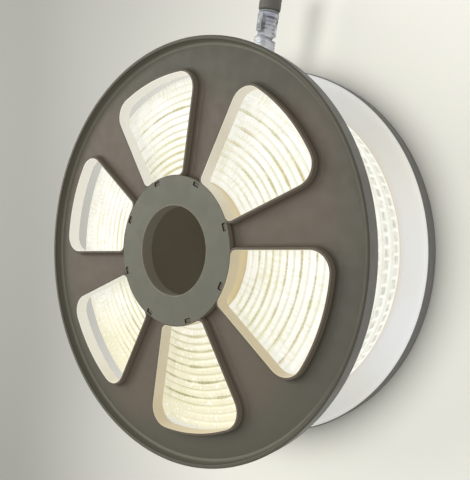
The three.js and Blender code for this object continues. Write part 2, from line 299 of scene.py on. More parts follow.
def flange_disc():
    """The turned part, with its inner side at height 0 and its rim's lip at RIM_H."""
    # Radius, height, corner radius, material of the corner, material of the edge after it
    corners = [
        (BORE_R, SLEEVE_LOW, 0.5, BORE, BORE),
        (SLEEVE_R, SLEEVE_LOW, 0.5, BORE, BORE),
        (SLEEVE_R, RIM_H - HUB_FACE, 0.5, BORE, BORE),
        (HUB_IN, RIM_H - HUB_FACE, 0.3, BORE, BORE),
        (HUB_IN, WEB_LOW, 0.3, LIT, LIT),
        (FLANGE_R - RIM_WALL, WEB_LOW, 0.9, LIT, LIT),
        (FLANGE_R - RIM_WALL, 0.0, 0.7, LIT, LIT),
        (FLANGE_R, 0.0, 1.0, RIM, RIM),
        (FLANGE_R, RIM_H, 1.3, SHELL, SHELL),
        (FLANGE_R - RIM_WALL, RIM_H, 1.2, SHELL, RIM_INSIDE),
        (FLANGE_R - RIM_WALL, WEB_TOP, 2.0, RIM_INSIDE, SHELL),
        (HUB_R, WEB_TOP, 2.8, SHELL, FRAME_SIDE),
        (HUB_R, RIM_H, 0.5, HUB, HUB),
        (BORE_R, RIM_H, 0.9, BORE, BORE),
    ]
    steps = 5
    mats = []
    for *_, corner_mat, edge_mat in corners:
        mats += [corner_mat] * steps + [edge_mat]
    disc = Build()
    disc.grid(lathe_rings(rounded([c[:3] for c in corners], steps)), mats, flip=True)
    return disc


def flange_cutters():
    """What is cut from the disc: six windows, and eight slots in the hub face."""
    cutters = Build()
    for middle in WINDOW_ANGLES:
        raised(cutters, window_outline(middle, WALL_W / 2), -CUT_OVER, RIM_H + CUT_OVER, WINDOW)
    r0, r1 = BARREL_IN - SLOT_CLEAR, BARREL_R + SLOT_CLEAR
    half, corner = SLOT_LENGTH / 2, 0.5
    slot = rounded([(r0, -half, corner), (r1, -half, corner),
                    (r1, half, corner), (r0, half, corner)], 3)
    for angle in SLOT_ANGLES:
        a = math.radians(angle)
        along = np.array([math.cos(a), math.sin(a)])
        across = np.array([-math.sin(a), math.cos(a)])
        loop = np.array([along * r + across * s for r, s in slot])
        raised(cutters, loop, RIM_H - HUB_FACE - CUT_UNDER, RIM_H + CUT_OVER, FRAME)
    return cutters


def window_walls():
    """The raised wall round each window, with its fillet onto the web."""
    top, foot, low = RIM_H - WALL_SINK, WEB_TOP - WALL_SINK, WEB_LOW - WEB_OVERLAP
    inside, outside, bend = WALL_ROUND, WALL_W - WALL_ROUND, WALL_ROUND
    quarter, fine_quarter = np.linspace(0, math.pi / 2, 5), np.linspace(0, math.pi / 2, 8)
    profile = [(0.0, low), (0.0, top - bend)]
    profile += [(inside - bend * math.cos(t), top - bend + bend * math.sin(t))
                for t in quarter[1:]]
    profile += [(outside + bend * math.sin(t), top - bend + bend * math.cos(t)) for t in quarter]
    profile += [(WALL_W + FILLET * (1 - math.cos(t)), foot + FILLET * (1 - math.sin(t)))
                for t in fine_quarter]
    profile += [(WALL_W + FILLET, WALL_ROOT_Z), (WALL_W - WALL_ROOT_IN, WALL_ROOT_Z),
                (WALL_W - WALL_ROOT_IN, low)]
    # The window's side, the wall's top, its outer side, the fillet with the root, the under side
    mats = [WINDOW] * 4 + [FRAME] * 5 + [FRAME_SIDE] * 3 + [SHELL] * (len(profile) - 13) + [LIT]
    walls = Build()
    for middle in WINDOW_ANGLES:
        rings = []
        for offset, z in profile:
            loop = window_outline(middle, offset)
            radius = np.linalg.norm(loop, axis=1)
            loop = loop * np.maximum(1.0, (HUB_IN + HUB_SKIN) / radius)[:, None]
            rings.append(np.column_stack([loop, np.full(len(loop), z)]))
        walls.grid(np.stack(rings, axis=1), mats, flip=True)
    return walls


def flange_mesh(name, looks):
    """The whole moulding, its inner side at height 0."""
    disc = add_object(name + "_disc", flange_disc().mesh(name + "_disc"), looks)
    cutter = add_object(name + "_cutter", flange_cutters().mesh(name + "_cutter"), looks)
    wall = add_object(name + "_wall", window_walls().mesh(name + "_wall"), looks)
    boolean(disc, cutter, "DIFFERENCE")
    boolean(disc, wall, "UNION")
    data = evaluated_copy(disc, name)
    for tool in (cutter, wall):
        bpy.data.objects.remove(tool)
    return data


# ---- materials


def colour(r, g, b):
    """An sRGB colour in 0 to 255, as the linear colour that shaders take."""
    linear = []
    for c in (r / 255, g / 255, b / 255):
        linear.append(c / 12.92 if c <= 0.04045 else ((c + 0.055) / 1.055) ** 2.4)
    return (*linear, 1.0)


class Nodes:
    """A material with one Principled shader, and short ways to add nodes to it."""

    def __init__(self, name):
        self.material = bpy.data.materials.new(name)
        self.material.use_nodes = True
        self.tree = self.material.node_tree
        self.shader = next(n for n in self.tree.nodes if n.type == "BSDF_PRINCIPLED")
        self.place = self.add("ShaderNodeTexCoord").outputs["Object"]

    def add(self, kind, **settings):
        node = self.tree.nodes.new(kind)
        for key, value in settings.items():
            setattr(node, key, value)
        return node

    def wire(self, source, target):
        if isinstance(source, (int, float, tuple)):
            target.default_value = source
        else:
            self.tree.links.new(source, target)

    def set(self, **values):
        for key, value in values.items():
            self.wire(value, self.shader.inputs[key.replace("_", " ")])

    def noise(self, scale, detail=2.0):
        node = self.add("ShaderNodeTexNoise")
        self.wire(self.place, node.inputs["Vector"])
        node.inputs["Scale"].default_value = scale
        node.inputs["Detail"].default_value = detail
        return node.outputs["Fac"]

    def math(self, operation, a, b=0.0):
        node = self.add("ShaderNodeMath", operation=operation)
        self.wire(a, node.inputs[0])
        self.wire(b, node.inputs[1])
        return node.outputs[0]

    def times(self, a, b):
        return self.math("MULTIPLY", a, b)

    def plus(self, a, b):
        return self.math("ADD", a, b)

    def minus(self, a, b):
        return self.math("SUBTRACT", a, b)

    def size(self, value):
        """A number without its sign."""
        return self.math("ABSOLUTE", value)

    def span(self, value, low, high, to_low=0.0, to_high=1.0):
        """value from low..high to to_low..to_high, with soft ends."""
        node = self.add("ShaderNodeMapRange", interpolation_type="SMOOTHSTEP")
        for v, target in zip((value, low, high, to_low, to_high), node.inputs):
            self.wire(v, target)
        return node.outputs[0]

    def patches(self, scale, low, high, to_low=0.0, to_high=1.0, detail=2.0):
        """Noise with its middle part stretched."""
        return self.span(self.noise(scale, detail), low, high, to_low, to_high)

    def mix(self, factor, a, b):
        node = self.add("ShaderNodeMix", data_type="RGBA")
        # A mix node has sockets for every data type: its colours are inputs 6 and 7, output 2
        for value, index in zip((factor, a, b), (0, 6, 7)):
            self.wire(value, node.inputs[index])
        return node.outputs[2]

    def scaled(self, value, amount):
        """A colour times a number."""
        node = self.add("ShaderNodeVectorMath", operation="SCALE")
        self.wire(value, node.inputs[0])
        self.wire(amount, node.inputs["Scale"])
        return node.outputs[0]

    def axis(self, letter, place=None):
        node = self.add("ShaderNodeSeparateXYZ")
        self.wire(place or self.place, node.inputs[0])
        return node.outputs[letter]

    def bump(self, height, strength, distance):
        node = self.add("ShaderNodeBump")
        self.wire(height, node.inputs["Height"])
        node.inputs["Strength"].default_value = strength
        node.inputs["Distance"].default_value = distance
        self.wire(node.outputs[0], self.shader.inputs["Normal"])

    def uv(self):
        place = self.add("ShaderNodeUVMap", uv_map="UVMap").outputs[0]
        return self.axis("X", place), self.axis("Y", place)

    def lit(self, shade, base, glow, rough):
        """A shade that shines. base is how much of it stays as the plain surface colour."""
        self.set(Base_Color=self.scaled(shade, base), Roughness=rough)
        self.set(Emission_Color=shade, Emission_Strength=glow)


MATT = 0.3
GRAIN_SCALE, GRAIN_STRENGTH, GRAIN = 2600.0, 0.3, 0.0001


def moulded(name, light, dark, rough=0.55, grain=GRAIN, scale=9.0, glow=0.0):
    """Matt moulded plastic: two near shades in soft patches, and a fine grain. A glow, when given,
    is painted light.
    """
    n = Nodes(name)
    shade = n.mix(n.patches(scale, 0.3, 0.7), dark, light)
    n.set(Base_Color=shade, Specular_IOR_Level=MATT)
    n.set(Roughness=n.patches(scale * 12, 0.3, 0.7, rough - 0.05, rough + 0.08, detail=4.0))
    n.bump(n.noise(GRAIN_SCALE), GRAIN_STRENGTH, grain)
    if glow:
        n.set(Emission_Color=shade, Emission_Strength=glow)
    return n


def shaded_shell_plastic():
    """The flange's face: a pale plastic with painted shade, browner round the hub with painted
    light of the strip shining through, greener near the rim without it.
    """
    n = Nodes("shaded_shell_plastic")
    across = n.math("POWER", n.axis("X"), 2.0)
    along = n.math("POWER", n.minus(n.axis("Y"), AXIS_Y), 2.0)
    radius = n.math("SQRT", n.plus(across, along))
    near_rim = n.span(n.plus(radius, n.patches(7.0, 0.3, 0.7, -0.02, 0.02)), 0.105, 0.148)
    shade = n.mix(near_rim, colour(92, 83, 72), colour(79, 77, 66))
    shade = n.mix(n.patches(16.0, 0.35, 0.65, 0.0, 0.12), shade, colour(88, 82, 71))
    n.set(Base_Color=shade, Specular_IOR_Level=MATT)
    n.set(Roughness=n.patches(110.0, 0.3, 0.7, 0.5, 0.64, detail=4.0))
    n.bump(n.noise(GRAIN_SCALE), GRAIN_STRENGTH, GRAIN)
    return n


shaded_shell_look = shaded_shell_plastic()
# Painted shade: the hub face, the same pale plastic without the strip's light behind it, in
# grey-green
shaded_hub_look = moulded("hub_plastic_shaded", colour(95, 95, 83), colour(92, 92, 80))
# Painted shade: the rim's outer side, the pale plastic painted grey
shaded_rim_look = moulded("rim_plastic_shaded", colour(126, 124, 122), colour(116, 114, 111))
# Painted shade: the window walls' tops, the slots' sides and the barrel's tabs, darker than the
# face
shaded_frame_look = moulded("window_frame_plastic_shaded", colour(86, 78, 67), colour(82, 74, 63))
# The four below stand close to the lit strip. Their glow is painted light, standing in for the
# strip's light on them
frame_side_glow_look = moulded("window_frame_side_glow",
                          colour(90, 81, 69), colour(86, 77, 65), glow=0.55)
rim_inside_glow_look = moulded("rim_inside_plastic_glow", colour(88, 85, 74), colour(84, 81, 70), glow=0.36)
bore_glow_look = moulded("bore_plastic_glow", colour(104, 99, 87), colour(98, 93, 80), glow=0.45)
barrel_glow_look = moulded("barrel_plastic_glow", colour(98, 93, 77), colour(94, 88, 72), glow=0.4)


def lit_plastic():
    """The moulding's inner side, which the strip lights from close by."""
    n = Nodes("shell_plastic_lit")
    shade = n.mix(n.patches(7.0, 0.35, 0.65), colour(231, 229, 222), colour(233, 234, 236))
    # Painted shade: darker towards both ends along Y, and towards -X
    side = n.size(n.minus(n.axis("Y"), AXIS_Y))
    shade = n.scaled(shade, n.span(side, 0.04, 0.14, 1.05, 0.84))
    shade = n.scaled(shade, n.span(n.axis("X"), -0.12, 0.02, 0.76, 1.0))
    n.lit(shade, base=0.72, glow=0.43, rough=0.5)
    n.set(Specular_IOR_Level=MATT)
    n.bump(n.noise(GRAIN_SCALE), GRAIN_STRENGTH, GRAIN)
    return n


def glowing_plastic(name, tan, pale, low, high):
    """Plastic beside the strip, with painted light: it glows, painted pale on one side of the reel
    and tan on the other, as the strip's light falls stronger and weaker.
    """
    n = Nodes(name)
    side = n.minus(n.times(n.minus(n.axis("Y"), AXIS_Y), 0.5), n.axis("X"))
    place = n.plus(side, n.patches(30.0, 0.3, 0.7, -0.012, 0.012))
    shade = n.mix(n.span(place, low, high), tan, pale)
    n.lit(shade, base=0.6, glow=0.33, rough=0.45)
    n.set(Specular_IOR_Level=MATT)
    return n


lit_look = lit_plastic()
window_look = glowing_plastic("window_wall_lit",
                              colour(222, 209, 178), colour(252, 249, 239), -0.07, 0.06)
barrel_lit_look = glowing_plastic("barrel_outside_lit",
                                  colour(234, 216, 174), colour(240, 230, 206), -0.06, 0.05)

SHADOW_TAN = colour(206, 190, 164)


def strip_edge():
    """A turn's narrow side, with a dark seam along each of its two borders.

    U counts lamps along the strip and V goes across the edge from 0 to 1. A turn's mark holds how
    dark its inner and outer seams are, and its tone.
    """
    n = Nodes("strip_edge_lit")
    u, v = n.uv()
    mark = n.add("ShaderNodeAttribute", attribute_name="mark", attribute_type="GEOMETRY")
    inner, outer, tone = (n.axis(letter, mark.outputs["Vector"]) for letter in "XYZ")
    strength = n.plus(n.times(inner, n.math("LESS_THAN", v, 0.5)),
                      n.times(outer, n.math("GREATER_THAN", v, 0.5)))
    out = n.size(n.minus(v, 0.5))
    jitter = n.patches(75.0, 0.2, 0.8, -0.6, 0.6)

    # The seam: ragged, broken into dashes, and faint on the side away from the camera
    ragged = n.patches(95.0, 0.3, 0.7, -0.08, 0.08, detail=3.0)
    line = n.times(n.span(n.plus(out, ragged), 0.3, 0.5), strength)
    line = n.times(line, n.patches(38.0, 0.34, 0.54, 0.45, 1.0))
    dash = n.math("PINGPONG", n.plus(n.times(u, 2.6), jitter), 0.5)
    line = n.times(line, n.span(dash, 0.1, 0.3, 0.7, 1.0))
    line = n.times(line, n.span(n.axis("X"), -0.1, -0.03, 0.15, 1.0))

    # The lit jacket: warmer on one side, with streaks, a halo by the seam and bright spots
    aside = n.times(n.math("MAXIMUM", n.axis("X"), 0.0), 0.3)
    warm = n.span(n.minus(n.minus(AXIS_Y, n.axis("Y")), aside), 0.04, 0.085)
    shade = n.mix(n.times(tone, 0.6), colour(243, 242, 230), colour(248, 247, 240))
    shade = n.mix(warm, shade, colour(239, 233, 203))
    streak = n.math("PINGPONG", n.plus(n.times(u, 2.0), jitter), 0.5)
    streak = n.times(n.span(streak, 0.0, 0.5, 0.0, 0.6), n.patches(85.0, 0.4, 0.66))
    shade = n.mix(streak, shade, colour(226, 222, 194))
    halo = n.times(n.span(out, 0.05, 0.42), n.patches(24.0, 0.42, 0.62))
    halo = n.times(n.times(halo, 0.8), n.span(strength, 0.0, 0.5))
    shade = n.mix(halo, shade, colour(226, 224, 184))
    spots = n.times(n.patches(340.0, 0.58, 0.68, detail=1.0), n.span(out, 0.45, 0.25))
    shade = n.mix(n.times(spots, 0.65), shade, colour(255, 255, 250))

    tan = n.mix(n.patches(22.0, 0.4, 0.6, detail=1.0), colour(190, 188, 142), colour(198, 184, 146))
    shade = n.mix(line, shade, n.mix(warm, tan, colour(158, 154, 110)))

    # The lowest edge lies in the rear flange's shadow. Heights are in metres
    height = n.axis("Z")
    foot = n.times(n.math("GREATER_THAN", height, 0.00995), n.math("LESS_THAN", height, 0.0125))
    shade = n.mix(n.times(foot, 0.9), shade, SHADOW_TAN)
    n.lit(shade, base=0.25, glow=0.78, rough=0.3)
    return n


def strip_face():
    """A turn's wide side: bright lamps in a row with bare board between them, under a clear jacket.

    U counts lamps along the strip and V goes across it from 0 to 1.
    """
    n = Nodes("strip_face_lit")
    u, v = n.uv()
    away = n.size(n.plus(n.minus(v, 0.6), n.patches(120.0, 0.3, 0.7, -0.05, 0.05)))
    slip = n.patches(60.0, 0.3, 0.7, -0.07, 0.07, detail=1.0)
    along = n.math("PINGPONG", n.plus(u, slip), 0.5)
    board = n.times(n.span(away, 0.24, 0.12), n.span(along, 0.11, 0.24))
    spot = n.times(n.span(n.size(n.minus(away, 0.26)), 0.09, 0.02), n.span(along, 0.16, 0.04))
    bar = n.times(n.span(away, 0.3, 0.2), n.span(along, 0.14, 0.05))
    shade = n.mix(n.patches(45.0, 0.35, 0.65), colour(238, 238, 224), colour(247, 247, 236))
    patchy = n.patches(190.0, 0.38, 0.62, 0.3, 1.0, detail=3.0)
    shade = n.mix(n.times(board, patchy), shade, colour(205, 205, 196))
    shade = n.mix(n.math("MAXIMUM", spot, n.times(bar, 0.7)), shade, colour(255, 255, 250))
    # Painted shadow: the lowest edge, as in the rear flange's shadow
    low_edge = n.span(n.axis("Z"), 0.0138, 0.0122)
    shade = n.mix(n.times(low_edge, 0.9), shade, SHADOW_TAN)
    n.lit(shade, base=0.25, glow=0.78, rough=0.25)
    return n


def strip_back():
    """The side of a turn that faces the reel's axis."""
    n = Nodes("strip_back_lit")
    shade = n.mix(n.patches(60.0, 0.3, 0.7), colour(190, 180, 140), colour(206, 198, 164))
    n.lit(shade, base=0.3, glow=0.6, rough=0.35)
    return n


edge_look, face_look, back_look = strip_edge(), strip_face(), strip_back()


def clear_plastic(name, tint):
    """Clear plastic, kept a little milky by an opaque part."""
    n = Nodes(name)
    n.set(Base_Color=n.mix(n.patches(160.0, 0.35, 0.65), tint, colour(236, 238, 244)))
    n.set(Roughness=n.patches(300.0, 0.3, 0.7, 0.1, 0.2))
    n.set(IOR=1.46, Transmission_Weight=0.55)
    n.bump(n.noise(700.0), 0.25, 0.0002)
    return n


clear_look = clear_plastic("clear_fitting", colour(206, 208, 224))
# A darker copy of the clear plastic: painted shade at the thread roots, and the lugs' darker tone
clear_shade_look = clear_plastic("clear_fitting_shade", colour(104, 108, 112))
rubber_look = moulded("seal_rubber", colour(140, 147, 143), colour(120, 127, 124),
                      rough=0.45, scale=120.0)
plug_look = moulded("plug_plastic", colour(96, 93, 89), colour(80, 78, 74),
                    rough=0.34, grain=0.00005, scale=60.0)


def brass():
    n = Nodes("contact_brass")
    n.set(Base_Color=n.mix(n.noise(400.0), colour(176, 141, 74), colour(206, 172, 104)))
    n.set(Metallic=1.0, Roughness=n.patches(900.0, 0.3, 0.7, 0.22, 0.4))
    return n


brass_look = brass()

# In the order of SHELL, HUB, LIT and so on
FLANGE_LOOKS = [n.material for n in (shaded_shell_look, shaded_hub_look, lit_look, window_look, bore_glow_look,
                                     shaded_rim_look, shaded_frame_look, frame_side_glow_look, rim_inside_glow_look)]
BODY_LOOKS = [clear_look.material, clear_shade_look.material]
BARREL_LOOKS = [n.material for n in (barrel_glow_look, barrel_lit_look, shaded_frame_look)]


def piece(name, data, looks, nodes, angle=35.0, weighted=True):
    """A finished piece that rides the body and takes the place of its CAD nodes."""
    obj = add_object(name, data, looks, angle)
    if weighted:
        obj.modifiers.new("normals", "WEIGHTED_NORMAL").keep_sharp = True
    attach(obj, "root")
    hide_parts(*nodes)
    return obj


# ---- the reel: two flanges from one moulding, and the barrel

flange = flange_mesh("flange", FLANGE_LOOKS)
front = flange.copy()
front.transform(Matrix.Translation((-AXIS_X, -AXIS_Y, 0)))
rear = front.copy()
front.transform(Matrix.Translation((AXIS_X, AXIS_Y, (REEL_H - RIM_H) * MM)))
turn_line = math.radians(WINDOW_ANGLES[0])
rear.transform(Matrix.Rotation(math.pi, 4, Vector((math.cos(turn_line), math.sin(turn_line), 0))))
rear.transform(Matrix.Translation((AXIS_X, AXIS_Y, RIM_H * MM)))
bpy.data.meshes.remove(flange)
piece("front_flange_moulding", front, FLANGE_LOOKS, ["front_flange"])
piece("rear_flange_moulding", rear, FLANGE_LOOKS, ["rear_flange"])


INSIDE, OUTSIDE, TAB = range(3)


def tab_loop(middle, z, inset):
    """A snap tab's outline at one height, drawn in by an inset."""
    half = (SLOT_LENGTH / 2 - SLOT_CLEAR) / BARREL_R - inset / BARREL_R
    outer, inner = BARREL_R - TAB_SKIN - inset, BARREL_IN + TAB_SKIN + inset
    steps = np.linspace(-1, 1, 5)
    loop = [(outer, middle + t * half) for t in steps]
    loop += [(inner, middle + t * half) for t in steps[::-1]]
    return [(r * math.cos(a), r * math.sin(a), z) for r, a in loop]


def barrel_mesh():
    """The tube between the flanges, with eight snap tabs at each end."""
    tube = Build()
    outline = rounded([(BARREL_IN, BARREL_LOW, 0.3), (BARREL_R, BARREL_LOW, 0.3),
                       (BARREL_R, BARREL_TOP, 0.3), (BARREL_IN, BARREL_TOP, 0.3)], 3)
    tube.grid(lathe_rings(outline), [INSIDE] * 4 + [OUTSIDE] * 4 + [INSIDE] * 8)
    obj = add_object("barrel_tube", tube.mesh("barrel_tube"), BARREL_LOOKS)
    tabs = Build()
    for angle in SLOT_ANGLES:
        middle = math.radians(angle)
        for low, high in ((BARREL_LOW - TAB_H, BARREL_LOW + TAB_ROOT),
                          (BARREL_TOP - TAB_ROOT, BARREL_TOP + TAB_H)):
            levels = [(low, TAB_BEVEL), (low + TAB_BEVEL, 0.0),
                      (high - TAB_BEVEL, 0.0), (high, TAB_BEVEL)]
            rings = [tab_loop(middle, z, inset) for z, inset in levels]
            base, n, m = tabs.grid(rings, TAB, closed_u=False)
            tabs.cap(base, m, 0, flip=True, mat=TAB)
            tabs.cap(base, m, n - 1, mat=TAB)
    tool = add_object("barrel_tabs", tabs.mesh("barrel_tabs"), BARREL_LOOKS)
    boolean(obj, tool, "UNION")
    data = evaluated_copy(obj, "barrel")
    bpy.data.objects.remove(tool)
    return data


piece("barrel_tube", barrel_mesh(), BARREL_LOOKS, ["hub_barrel"])

# ---- the wound strip and its free end

EDGE, FACE, BACK = range(3)


def strip_section(thick, width, corner, steps):
    """Section points (across the thickness, along the width), and each edge's kind and V span."""
    points = rounded([(0, 0, corner), (thick, 0, corner),
                      (thick, width, corner), (0, width, corner)], steps)
    kinds, spans = [], []
    for k, (x, z) in enumerate(points):
        x2, z2 = points[(k + 1) % len(points)]
        flat = abs(x - x2) < 1e-6
        if flat and x > thick / 2:
            kinds.append(FACE)
        elif flat:
            kinds.append(BACK)
        else:
            kinds.append(EDGE)
        spans.append((z / width, z2 / width) if flat else (x / thick, x2 / thick))
    return np.array(points), kinds, spans


def wind_turns(build):
    """Every turn as a ring of its own. Those that show wander a little and have finer steps."""
    for lane in range(LANES):
        open_lane = lane in (0, LANES - 1)
        for turn in range(TURNS):
            outer = turn == TURNS - 1
            fine = open_lane or outer
            steps = RING_STEPS if fine else HIDDEN_STEPS
            points, kinds, spans = strip_section(TURN_T, STRIP_W, STRIP_ROUND, 2 if fine else 1)
            start = ROLL_IN + turn * TURN_PITCH + (TURN_PITCH - TURN_T) / 2
            lamps = round(2 * math.pi * (start + TURN_T) / LED_PITCH)
            wander = rng.uniform(-1, 1, 6)
            angles = np.linspace(0, 2 * math.pi, steps, endpoint=False)
            shift_r = WANDER_R * wander[0] * np.sin(2 * angles + 3 * wander[1])
            shift_r += WANDER_FINE * wander[2] * np.sin(7 * angles)
            shift_z = WANDER_Z * wander[3] * np.sin(3 * angles + 3 * wander[4])
            if not fine:
                shift_r, shift_z = shift_r * 0, shift_z * 0
            low = ROLL_LOW + lane * LANE_PITCH + LANE_SHIFT * wander[5]
            r = start + points[None, :, 0] + shift_r[:, None]
            z = low + points[None, :, 1] + shift_z[:, None]
            z = np.clip(z, ROLL_LOW, ROLL_LOW + LANES * LANE_PITCH - TOP_ROOM)
            rings = np.stack([r * np.cos(angles)[:, None], r * np.sin(angles)[:, None], z], -1)
            first_lamp = LANE_PHASE * lane + TURN_PHASE * wander[1]
            u = first_lamp + np.linspace(0, lamps, steps + 1)
            build.grid(rings, kinds, uv=(u, spans), flip=True,
                       mark=(LINES[turn], LINES[turn + 1], rng.uniform(0.0, 1.0)))


def tail_route():
    """Centre points and directions of the free end, from the outer turn to inside its sleeve."""
    radius = ROLL_IN + TURNS * TURN_PITCH - TURN_PITCH / 2
    leave = math.radians(TAIL_LEAVE)
    p0 = np.array([radius * math.cos(leave), radius * math.sin(leave)])
    way0 = np.array([-math.sin(leave), math.cos(leave)])
    way1 = np.array([math.sin(LEAN), math.cos(LEAN)])
    end = np.array(TAIL_END)
    p3 = end - way1 * SLEEVE_L
    reach = np.linalg.norm(p3 - p0) * TAIL_BEND
    p1, p2 = p0 + way0 * reach, p3 - way1 * reach
    out = []
    for t in np.linspace(0, 1, TAIL_STEPS):
        s = 1 - t
        point = s**3 * p0 + 3 * s * s * t * p1 + 3 * s * t * t * p2 + t**3 * p3
        way = 3 * s * s * (p1 - p0) + 6 * s * t * (p2 - p1) + 3 * t * t * (p3 - p2)
        out.append((point, way / np.linalg.norm(way)))
    out += [(p3 + way1 * SLEEVE_L * f, way1) for f in TAIL_STOPS]
    return out


def strip_mesh():
    """The winding and the free end, which starts inside the outer turn."""
    build = Build()
    wind_turns(build)
    points, kinds, spans = strip_section(TAIL_T, STRIP_W, STRIP_ROUND, 3)
    rings, lamps, last = [], [0.0], None
    for point, way in tail_route():
        side = np.array([way[1], -way[0]])
        row = []
        for x, z in points:
            p = point + side * (x - TAIL_T / 2)
            row.append((p[0], p[1], TAIL_Z - STRIP_W / 2 + z))
        if rings:
            lamps.append(lamps[-1] + float(np.linalg.norm(point - last)) / LED_PITCH)
        last = point
        rings.append(row)
    lamps.append(lamps[-1])
    base, n, m = build.grid(rings, kinds, closed_u=False, uv=(lamps, spans), mark=TAIL_MARK)
    build.cap(base, m, 0, flip=True, mat=BACK)
    build.cap(base, m, n - 1, mat=BACK)
    return build.mesh("strip")


# In the order of EDGE, FACE, BACK
piece("strip_winding", strip_mesh(),
      [edge_look.material, face_look.material, back_look.material],
      ["strip_roll"], 50.0, weighted=False)

# ---- the connector on the free end


def along_tail(points):
    """Points of the connector's own frame, as points of the reel, both in millimetres.

    The connector's X is the reel's axis, its Y is across the free end and its Z is along it.
    """
    p = np.asarray(points, float)
    way = np.array([math.sin(LEAN), math.cos(LEAN), 0.0])
    across = np.array([math.cos(LEAN), -math.sin(LEAN), 0.0])
    up = np.array([0.0, 0.0, 1.0])
    origin = np.array([*TAIL_END, TAIL_Z])
    return origin + p[..., 0:1] * up + p[..., 1:2] * across + p[..., 2:3] * way


def revolve(build, outline, steps=64, mat=0):
    """A solid about the connector's axis, from (radius, height) points that begin and end on it."""
    inner = outline[1:-1]
    end_mat = mat[0] if hasattr(mat, "__len__") else mat
    rings = along_tail(lathe_rings(inner, steps))
    base, n, m = build.grid(rings, mat, closed_v=False)
    for index, (radius, height) in ((0, outline[0]), (m - 1, outline[-1])):
        build.verts.append(along_tail([[0.0, 0.0, height]]))
        tip = build.count
        build.count += 1
        for i in range(n):
            a, b = base + i * m + index, base + ((i + 1) % n) * m + index
            build.face([a, b, tip] if index else [b, a, tip], end_mat)


def box_loop(width, height, corner):
    """A rectangle with round corners."""
    x, y = width / 2, height / 2
    return rounded([(-x, -y, corner), (x, -y, corner), (x, y, corner), (-x, y, corner)])


SLEEVE_LOW_Z, SLEEVE_TOP_Z = -6.7, 1.3
SLEEVE_W, SLEEVE_T, SLEEVE_WALL = 17.8, 7.2, 1.0
SLEEVE_CORNER, SLEEVE_ENTRY, SLEEVE_SHOULDER = 0.6, 0.3, 0.4
RIBS, RIB_H = 4, 0.42
# A rib's corners: share of its one millimetre, and share of RIB_H
RIB_STEPS = ((0.0, 0), (0.25, 1), (0.75, 1), (1.0, 0))


def sleeve_mesh():
    """A ribbed box-shaped sleeve, open where the strip goes in and closed at its other end."""
    levels = [(SLEEVE_LOW_Z, -SLEEVE_ENTRY), (SLEEVE_LOW_Z + SLEEVE_ENTRY, 0.0)]
    for i in range(RIBS):
        low = SLEEVE_LOW_Z + (i + 0.25) * SLEEVE_L / RIBS
        levels += [(low + along, RIB_H * out) for along, out in RIB_STEPS]
    levels += [(SLEEVE_TOP_Z - SLEEVE_SHOULDER, 0.0), (SLEEVE_TOP_Z, -SLEEVE_SHOULDER)]
    outside = []
    for z, grow in levels:
        loop = box_loop(SLEEVE_W + 2 * grow, SLEEVE_T + 2 * grow,
                        SLEEVE_WALL + SLEEVE_CORNER + grow)
        outside.append([(x, y, z) for x, y in loop])
    inner = box_loop(SLEEVE_W - 2 * SLEEVE_WALL, SLEEVE_T - 2 * SLEEVE_WALL, SLEEVE_CORNER)
    inside = [[(x, y, z) for x, y in inner] for z in (SLEEVE_TOP_Z - SLEEVE_WALL, SLEEVE_LOW_Z)]
    build = Build()
    base, n, m = build.grid(along_tail(outside), 0, closed_u=False)
    base_in, n_in, _ = build.grid(along_tail(inside), 0, closed_u=False)
    build.cap(base, m, n - 1)
    build.cap(base_in, m, 0, flip=True)
    last = base_in + (n_in - 1) * m
    for k in range(m):
        k2 = (k + 1) % m
        build.face([base + k, base + k2, last + k2, last + k])
    return build.mesh("sleeve")


ROUND_STEPS = 96
BODY_LOW, BODY_TOP = 1.6, 18.6
BODY_R, BODY_BORE, BODY_FLOOR = 6.5, 4.4, 4.0
COLLAR_R, COLLAR_H = 7.8, 3.0
THREAD_PITCH, THREAD_DEPTH, THREADS = 2.6, 0.7, 5
# Where in its pitch a thread rises and falls, the points on it, and how full its crest is
THREAD_FROM, THREAD_TO, THREAD_STEPS, THREAD_FULLNESS = 0.1, 0.9, 8, 0.7
BODY_BEVEL = 0.4
LUG_SINK, LUG_OUT, LUG_HALF_W = 1.6, 3.0, 2.5
LUG_FROM, LUG_TO = 3.0, 15.2
LUG_BEVEL_H, LUG_BEVEL = 0.5, 0.4
CLEAR, SHADE = range(2)


def body_outline():
    """The threaded body's section as (radius, height) points, and a material for each edge."""
    core = BODY_R - THREAD_DEPTH
    outline = [(0, BODY_LOW), (core - BODY_BEVEL, BODY_LOW), (core, BODY_LOW + BODY_BEVEL)]
    first = BODY_LOW + (BODY_TOP - BODY_LOW - COLLAR_H - THREADS * THREAD_PITCH) / 2
    for i in range(THREADS):
        for t in np.linspace(THREAD_FROM, THREAD_TO, THREAD_STEPS):
            rise = 0.0
            if THREAD_FROM < t < THREAD_TO:
                share = math.pi * (t - THREAD_FROM) / (THREAD_TO - THREAD_FROM)
                rise = math.sin(share) ** THREAD_FULLNESS
            outline.append((core + THREAD_DEPTH * rise, first + (i + t) * THREAD_PITCH))
    low, floor_z = BODY_TOP - COLLAR_H, BODY_LOW + BODY_FLOOR
    outline += [(core, low)]
    outline += rounded([(core, low, 0), (COLLAR_R, low, 0.8), (COLLAR_R, BODY_TOP, 0.6),
                        (BODY_BORE, BODY_TOP, 0.4), (BODY_BORE, floor_z, 0.5),
                        (0, floor_z, 0)], 4)[1:]
    # Painted shade: the roots before, between and after the threads are darker
    mats = [CLEAR] * len(outline)
    for i in range(THREADS + 1):
        mats[1 + THREAD_STEPS * i] = SHADE
    return outline, mats


